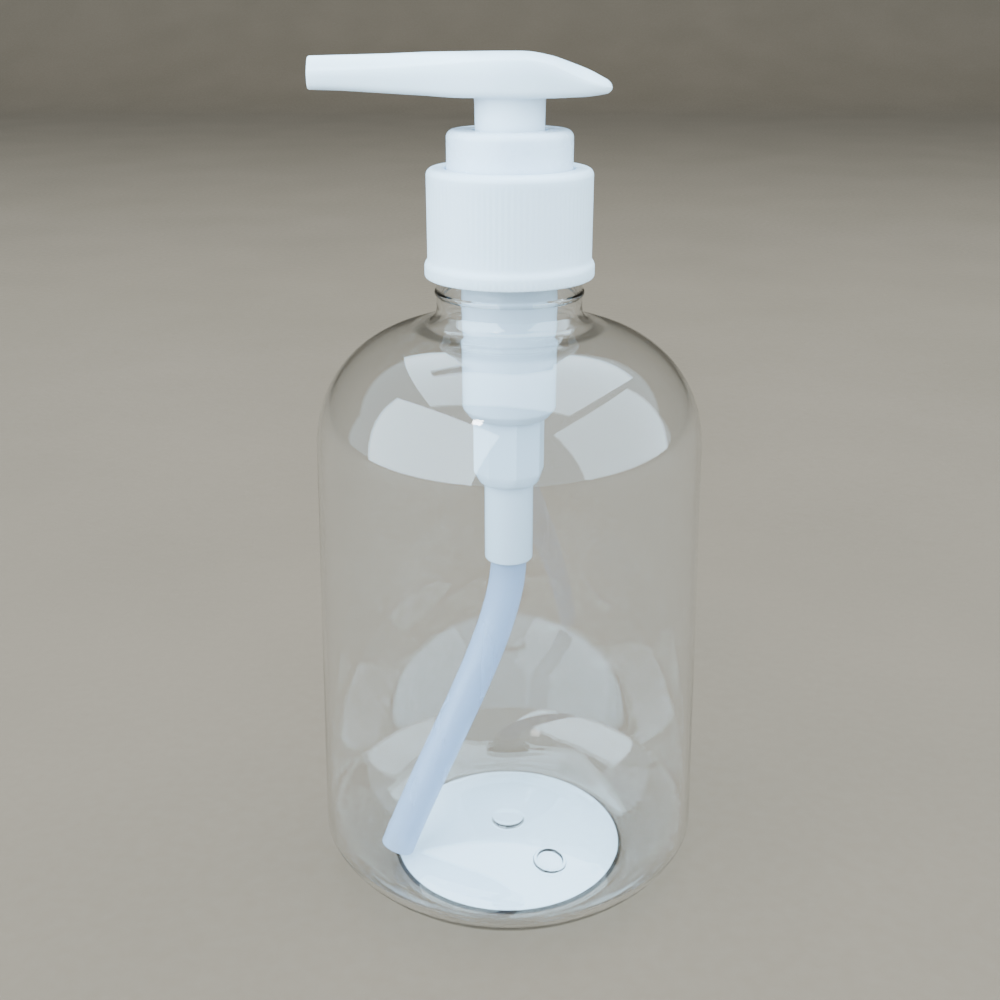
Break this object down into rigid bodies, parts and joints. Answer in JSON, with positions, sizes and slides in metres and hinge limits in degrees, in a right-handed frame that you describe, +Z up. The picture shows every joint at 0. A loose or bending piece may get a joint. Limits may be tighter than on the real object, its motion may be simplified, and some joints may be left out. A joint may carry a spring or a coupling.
{
  "type": "soap pump dispenser",
  "caption": "Clear refillable bottle with a screw-on pump: pressing the head draws soap up the dip tube and out of the side nozzle.",
  "frame": {"origin": "centre of the standing ring under the bottle, on the surface it stands on", "axes": "+Z up along the bottle's and the pump's axis; the nozzle points towards -X at rest"},
  "size_m": [0.0808, 0.0808, 0.1702],
  "materials": {
    "clear_pet": "clear gloss",
    "label_paper": "matte coated paper",
    "white_pp": "satin",
    "white_pp_collar": "satin, slightly translucent",
    "gasket_foam": "matte foam",
    "natural_pp": "translucent gloss",
    "natural_pe": "translucent satin",
    "ball_glass": "polished",
    "retainer_pp": "satin",
    "spring_steel": "drawn wire",
    "plug_pp": "satin",
    "piston_pe": "satin",
    "stem_pp": "satin",
    "white_pp_head": "satin"
  },
  "bodies": {
    "bottle": {"bottle": "clear_pet", "base_label": "label_paper"},
    "pump_body": {"pump_housing": "natural_pp", "chaplet": "white_pp_collar", "neck_gasket": "gasket_foam", "dip_tube": "natural_pe", "ball_retainer": "retainer_pp"},
    "closure": {"closure": "white_pp"},
    "spring": {"return_spring": "spring_steel"},
    "plunger": {"pump_head": "white_pp_head", "stem": "stem_pp", "valve_plug": "plug_pp"},
    "piston": {"piston": "piston_pe"},
    "inlet_ball": {"inlet_ball": "ball_glass"}
  },
  "joints": [
    {"name": "pump_lift", "type": "slide", "parent": "bottle", "child": "pump_body", "axis": [0, 0, 1], "range_m": [0, 0.00635]},
    {"name": "closure_turn", "type": "hinge", "parent": "pump_body", "child": "closure", "pos_m": [0, 0, 0.13], "axis": [0, 0, 1], "range_deg": [0, 540]},
    {"name": "head_swivel", "type": "hinge", "parent": "pump_body", "child": "spring", "pos_m": [0, 0, 0.1568], "axis": [0, 0, 1], "continuous": true},
    {"name": "pump_stroke", "type": "slide", "parent": "spring", "child": "plunger", "axis": [0, 0, 1], "range_m": [-0.0052, 0], "stiffness_N_per_m": 200, "springref_m": 0.01, "deforming": ["return_spring"]},
    {"name": "piston_slide", "type": "slide", "parent": "plunger", "child": "piston", "axis": [0, 0, 1], "range_m": [0, 0.0012]},
    {"name": "inlet_ball_lift", "type": "slide", "parent": "pump_body", "child": "inlet_ball", "axis": [0, 0, 1], "range_m": [0, 0.0012]}
  ],
  "couplings": [
    {"joint": "pump_lift", "follows": "closure_turn", "m_per_rad": 0.00067322}
  ]
}
